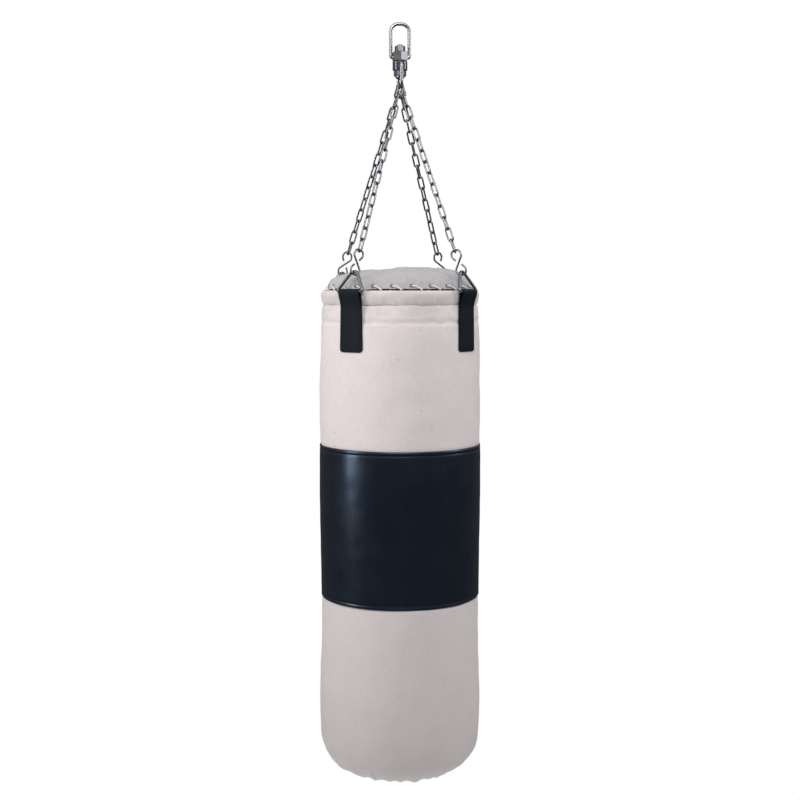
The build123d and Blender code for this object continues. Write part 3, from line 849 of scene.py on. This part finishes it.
near_edge = smooth_step(reach, 0.075, 0.138) * (1 - smooth_step(reach, 0.1445, 0.149))
calm = smooth_step(from_eyelet, 5 * MM, 14 * MM)
wander = 0.35 * lumps(rest, 0.09, 51)
pull = -np.cos(LACES * angle + 0.9 * wander) * near_edge * (1.5 + 0.8 * lumps(rest, 0.07, 52))
crush = lumps(rest * (1, 1, 0), 0.055, 53)
crush = 1.0 * MM * (1 - 2 * np.abs(np.clip(crush, -1, 1))) * (1 - smooth_step(reach, 0.10, 0.14))
points[:, 2] += (0.9 * (pull * MM + crush) + 0.8 * MM * lumps(rest, 0.11, 54)) * calm
points[:, 2] = np.maximum(points[:, 2], rest[:, 2] - 5 * MM)
lid = smooth_up(mesh_object("lid_canvas", points, faces, uv))
punch(lid, lid_holes)
thicken(lid, 2.0 * MM)
finish_piece(lid, "lid_canvas", stands_for=("lid",))
lid_surface = surface_tree(lid)
stitched_at = lid_run[-1] - 18 * MM
lid_stitches = ring_line(*(np.interp(stitched_at, lid_run, lid_line[:, k]) for k in range(2)))
sew("lid_hem_stitching", [lid_stitches], lid_surface, "lid_canvas", pitch=5.5 * MM,
    length=4.0 * MM, thick=0.8 * MM)

# ---- rim hem and lacing -------------------------------------------------------------

hem_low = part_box("rim_hem")[0].z
RIM_EYELET = 153.7 * MM  # from the axis
hem_wall = wall_outline("rim_hem", levels(RIM - 1.2 * MM, hem_low, 2.0 * MM))
HEM_INNER = 149.6 * MM  # inner edge of the flange
HEM_SEGMENTS = 480
flange = [(HEM_INNER, RIM - 2.0 * MM), (HEM_INNER, RIM - 0.9 * MM), (HEM_INNER + 0.5 * MM, RIM),
          (151.0 * MM, RIM), (152.3 * MM, RIM), (153.7 * MM, RIM), (155.1 * MM, RIM),
          (156.4 * MM, RIM - 0.02 * MM), (157.6 * MM, RIM - 0.15 * MM),
          (158.9 * MM, RIM - 0.5 * MM)]
points = turned(flange + hem_wall, HEM_SEGMENTS)
normal = grid_normals(points)
drop = RIM - points[..., 2]
wall_part = smooth_step(drop, 0.5 * MM, 6 * MM)
swell = 0.5 * MM * lumps(points, 0.06, 61) + 0.35 * MM * lumps(points, 0.025, 62)
swell += 1.3 * MM * folds(points, points[..., 2] - hem_low, 52, 0.016, 63, 0.035)
swell -= 1.0 * MM * near(points[..., 2] - hem_low, 2.5 * MM)
points = points + normal * (swell * wall_part)[..., None]
hem = grid_object("rim_hem_canvas", points, HEM_RADIUS)
rim_holes = [(Vector(polar(RIM_EYELET, 2 * math.pi * (k + 0.5) / LACES, RIM)),
              Vector((0, 0, 1))) for k in range(LACES)]
punch(hem, rim_holes)
thicken(hem, 1.9 * MM)
finish_piece(hem, "canvas", stands_for=("rim_hem",))
hem_tree = surface_tree(hem)
sew("rim_hem_stitching",
    [ring_line(0.1605, hem_low + 5 * MM), ring_line(0.162, hem_low + 9 * MM)],
    hem_tree, "canvas", pitch=5.8 * MM, length=4.2 * MM, thick=0.8 * MM)


def lace_stops():
    """Corners of the lacing: down through the rim, under, and up through the lid in turn."""
    stops = []

    def stop(angle_deg, radius, height):
        stops.append(polar(radius, math.radians(angle_deg), height))

    def along_eyelet(depth):
        return (LID_EYELET[0] + depth * math.sin(LID_LEAN),
                LID_EYELET[1] + depth * math.cos(LID_LEAN))

    pitch = 360 / LACES
    for k in range(LACES):
        start = pitch * k
        stop(start, *along_eyelet(3.4 * MM))
        stop(start + pitch / 2, RIM_EYELET, RIM + 3.2 * MM)
        stop(start + pitch / 2, RIM_EYELET, RIM - 5.6 * MM)
        stop(start + pitch * 3 / 4, LID_EYELET[0], RIM - 6.2 * MM)
        stop(start + pitch, *along_eyelet(-5.4 * MM))
    return np.array(stops)


LACE_RADIUS = 1.5 * MM
LACE_SIDES = 14
LACE_STEP = 0.7 * MM
BRAID_TWIST = 1150  # radians per metre


def lace_line(stops, pitch):
    """A smooth closed line drawn by the stops, which it rounds off, at an even pitch."""
    line = []
    for k in range(len(stops)):
        before, here, after = stops[k - 1], stops[k], stops[(k + 1) % len(stops)]
        a, b = (before + here) / 2, (here + after) / 2
        for t in np.linspace(0, 1, 10, endpoint=False):
            line.append((1 - t) ** 2 * a + 2 * t * (1 - t) * here + t * t * b)
    return even_points(line, pitch, True)[0]


line = lace_line(lace_stops(), LACE_STEP)
count = len(line)
forward = np.roll(line, -1, axis=0) - np.roll(line, 1, axis=0)
forward /= np.linalg.norm(forward, axis=1, keepdims=True)
outward = line * (1, 1, 0) / np.linalg.norm(line[:, :2], axis=1, keepdims=True)
outward = outward + (0, 0, 0.6)
side = np.cross(forward, outward)
side /= np.linalg.norm(side, axis=1, keepdims=True)
upward_axis = np.cross(side, forward)
turn = 2 * math.pi * np.arange(LACE_SIDES) / LACE_SIDES
twist = np.arange(count)[:, None] * LACE_STEP * BRAID_TWIST
braid = np.maximum(np.abs(np.sin(3 * turn + twist)), np.abs(np.sin(3 * turn - twist)))
size = LACE_RADIUS * (0.86 + 0.16 * braid)
points = (line[:, None] + (size * np.cos(turn))[..., None] * side[:, None]
          + (size * np.sin(turn))[..., None] * upward_axis[:, None])
points = np.concatenate([points, points[:1]])
faces, spots = grid_faces(count + 1, LACE_SIDES)
faces = [tuple(v % (count * LACE_SIDES) for v in face)[::-1] for face in faces]
uv = np.stack([spots[:, 1] * 2 * math.pi * LACE_RADIUS / LACE_SIDES,
               spots[:, 0] * LACE_STEP], axis=1).reshape(-1, 4, 2)[:, ::-1].reshape(-1, 2)
lace = mesh_object("lace", points[:-1], faces, uv)
finish_piece(lace, "white_cord", stands_for=("lace_cord",))

# ---- straps -------------------------------------------------------------------------

SEAT = 162.2 * MM  # the inner ply's inside, from the axis
PLY = 2.0 * MM
BAR = (167.6 * MM, RIM - 2.0 * MM)  # the ring's bar, from the axis and height
WRAP = 4.45 * MM  # from the bar's middle to the middle of the ply round it
STRAP_DROP = 121 * MM
HALF_WIDTHS = (25 * MM, 28 * MM)  # at the fold, and at the lower end
CORNER_RADIUS = 6 * MM
STRAP_COLUMN = 1.3 * MM  # step of the UV across


def strap_path():
    """Middle of the strap's ply: up the wall, round the bar and down over itself."""
    inner, outer = SEAT + PLY / 2 + 0.5 * MM, SEAT + 1.5 * PLY + 0.6 * MM
    neck = RIM - 19 * MM
    long_neck = RIM - 36 * MM
    up = [(inner, z) for z in np.linspace(RIM - STRAP_DROP + 0.6 * MM, neck, 34)]
    rise = []
    for t in np.linspace(0, 1, 8)[1:-1]:
        s = smooth_step(t, 0, 1)
        rise.append((inner + s * (BAR[0] - WRAP - inner), neck + t * (BAR[1] - neck)))
    wrap = [(BAR[0] - WRAP * math.cos(b), BAR[1] + WRAP * math.sin(b))
            for b in np.linspace(0, math.pi, 17)]
    fall = []
    for t in np.linspace(0, 1, 13)[1:-1]:
        s = smooth_step(t, 0, 1)
        fall.append((BAR[0] + WRAP + s * (outer - BAR[0] - WRAP),
                     BAR[1] + t * (long_neck - BAR[1])))
    down = [(outer, z) for z in np.linspace(long_neck, RIM - STRAP_DROP - 0.4 * MM, 34)]
    return np.array(up + rise + wrap + fall + down)


def add_strap(corner, azimuth, seed):
    """One folded strap with rounded lower corners, its border sewn through both plies."""
    path = strap_path()
    tangent = np.gradient(path, axis=0)
    tangent /= np.linalg.norm(tangent, axis=1, keepdims=True)
    face_out = np.stack([-tangent[:, 1], tangent[:, 0]], axis=1)
    run = np.concatenate([[0], np.cumsum(np.linalg.norm(np.diff(path, axis=0), axis=1))])
    total = run[-1]
    end = np.minimum(run, total - run)
    half = np.interp(-path[:, 1], [-(RIM - 12 * MM), -(RIM - STRAP_DROP)], HALF_WIDTHS)
    cut = np.clip(CORNER_RADIUS - end, 0, CORNER_RADIUS)
    half = half - (CORNER_RADIUS - np.sqrt(CORNER_RADIUS ** 2 - cut ** 2))
    body = PLY / 2 * np.sqrt(np.clip(1 - np.clip(1 - end / (1.1 * MM), 0, 1) ** 2, 0.02, 1))
    share = np.linspace(-1, 1, 41)
    tilt = np.random.default_rng(seed).uniform(-0.2, 0.2) * MM
    loops = []
    for i in range(len(path)):
        across = share * (half[i] - 0.9 * MM)
        across = np.concatenate([[-half[i], -half[i] + 0.12 * MM, -half[i] + 0.4 * MM], across,
                                 [half[i] - 0.4 * MM, half[i] - 0.12 * MM, half[i]]])
        over = np.clip((np.abs(across) - (half[i] - 1.0 * MM)) / (1.0 * MM), 0, 1)
        fat = body[i] * np.sqrt(np.clip(1 - over ** 2, 0.0, 1))
        inset = np.minimum(half[i] - np.abs(across), end[i])
        pressed = 0.35 * MM * near(inset - 5 * MM, 1.3 * MM)  # by the border stitches
        if run[i] < total / 2:
            pressed = pressed * 0
        below = smooth_step(RIM - path[i, 1], 4 * MM, 26 * MM)
        row = []
        for sign, order in ((1, range(len(across))), (-1, range(len(across) - 2, 0, -1))):
            for k in order:
                off = sign * fat[k] + (-pressed[k] if sign > 0 else 0)
                r = path[i, 0] + face_out[i, 0] * off
                z = path[i, 1] + face_out[i, 1] * off + tilt * across[k] / half[i]
                y = across[k]
                bent = math.sqrt(max(r * r - y * y, 1e-9))
                row.append((r + below * (bent - r), y, z))
        loops.append(row)
    points = np.array(loops)
    rows, columns = points.shape[:2]
    turn = math.radians(azimuth)
    x, y = points[..., 0].copy(), points[..., 1].copy()
    points[..., 0] = x * math.cos(turn) - y * math.sin(turn)
    points[..., 1] = x * math.sin(turn) + y * math.cos(turn)
    points[..., 2] += 0.075 * MM * lumps(points, 0.05, seed)
    faces, spots = grid_faces(rows, columns)
    uv = np.stack([spots[:, 1] * STRAP_COLUMN, run[spots[:, 0]]], axis=1)
    first = tuple(range(columns))
    last = tuple((rows - 1) * columns + k for k in reversed(range(columns)))
    uv = np.concatenate([uv, np.zeros((2 * columns, 2))])
    made = mesh_object(f"strap_{corner}_sewn", points, faces + [first, last], uv)
    face_outwards(made)
    finish_piece(made, "black_webbing", stands_for=(f"strap_{corner}",))
    low, high = RIM - STRAP_DROP + 5 * MM, RIM - 14 * MM
    face_r = SEAT + 2 * PLY + 1.2 * MM

    def spot(y, z):
        """A point of the strap's face, y across from its middle."""
        r = math.sqrt(face_r ** 2 - y * y)
        return (r * math.cos(turn) - y * math.sin(turn), r * math.sin(turn) + y * math.cos(turn),
                z)

    border = [spot(-20.3 * MM, high), spot(-22.9 * MM, low + 3 * MM),
              spot(-21.5 * MM, low + 0.6 * MM), spot(-19.5 * MM, low)]
    border += [spot(y, low) for y in np.linspace(-15, 15, 7) * MM]
    border += [spot(19.5 * MM, low), spot(21.5 * MM, low + 0.6 * MM),
               spot(22.9 * MM, low + 3 * MM), spot(20.3 * MM, high)]
    across_top = [spot(y, high) for y in np.linspace(-20, 20, 9) * MM]
    sew(f"strap_{corner}_stitching", [border, across_top], surface_tree(made), "black_webbing",
        pitch=4.6 * MM, length=3.6 * MM, thick=0.9 * MM, closed=False)


for number, (corner, azimuth) in enumerate(CORNERS.items()):
    add_strap(corner, azimuth, 70 + number)

# ---- filling ------------------------------------------------------------------------

core_low, core_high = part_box("filling")
heights = levels(core_high.z - 1.5 * MM, core_low.z + 4 * MM, 9 * MM)
outline = [(max(radius - 5 * MM, 3 * MM), height - 4 * MM)
           for radius, height in wall_outline("filling", heights)]
outline[-1] = (outline[-1][0], outline[-1][1] + 5 * MM)
points = turned(outline)[:, ::3]
uneven = 1.2 * MM * lumps(points, 0.04, 81) - 1.5 * MM
points = points + grid_normals(points) * uneven[..., None]
for spot in points.reshape(-1, 3):  # kept under the lid
    if spot[2] > RIM - 25 * MM:
        roof = lid_surface.ray_cast(Vector((spot[0], spot[1], 1)), Vector((0, 0, -1)))[0]
        if roof:
            spot[2] = min(spot[2], roof.z - 4.5 * MM)
stuffing = grid_object("stuffing", points, 0.5 / math.pi)
shell = bmesh.new()
shell.from_mesh(stuffing.data)
bmesh.ops.holes_fill(shell, edges=shell.edges)
bmesh.ops.triangulate(shell, faces=[f for f in shell.faces if len(f.verts) > 4])
bmesh.ops.recalc_face_normals(shell, faces=shell.faces)
shell.to_mesh(stuffing.data)
shell.free()
finish_piece(stuffing, "textile_filling", stands_for=("filling",))

# ---- floor --------------------------------------------------------------------------

FLOOR_Z = -1.98
floor_points = [(0, 0, FLOOR_Z)]
FLOOR_SIDES = 96
for radius in (0.4, 0.6, 0.75):
    floor_points += [polar(radius, 2 * math.pi * k / FLOOR_SIDES, FLOOR_Z)
                     for k in range(FLOOR_SIDES)]
floor_faces = [(0, 1 + k, 1 + (k + 1) % FLOOR_SIDES) for k in range(FLOOR_SIDES)]
for ring in range(2):
    a, b = 1 + ring * FLOOR_SIDES, 1 + (ring + 1) * FLOOR_SIDES
    for k in range(FLOOR_SIDES):
        n = (k + 1) % FLOOR_SIDES
        floor_faces.append((a + k, b + k, b + n, a + n))
floor = mesh_object("floor", floor_points, floor_faces)
pale, floor_tree, floor_shader = new_material("pale_floor", Roughness=0.9,
                                              Emission_Color=(1, 1, 1, 1),
                                              Emission_Strength=0.42)
speckle = noise(floor_tree, place(floor_tree), 3, 2, 0.5)
floor_tree.links.new(ramp(floor_tree, speckle, (0.2, 0.90), (0.8, 0.93)),
                     floor_shader.inputs["Base Color"])
floor.data.materials.append(pale)
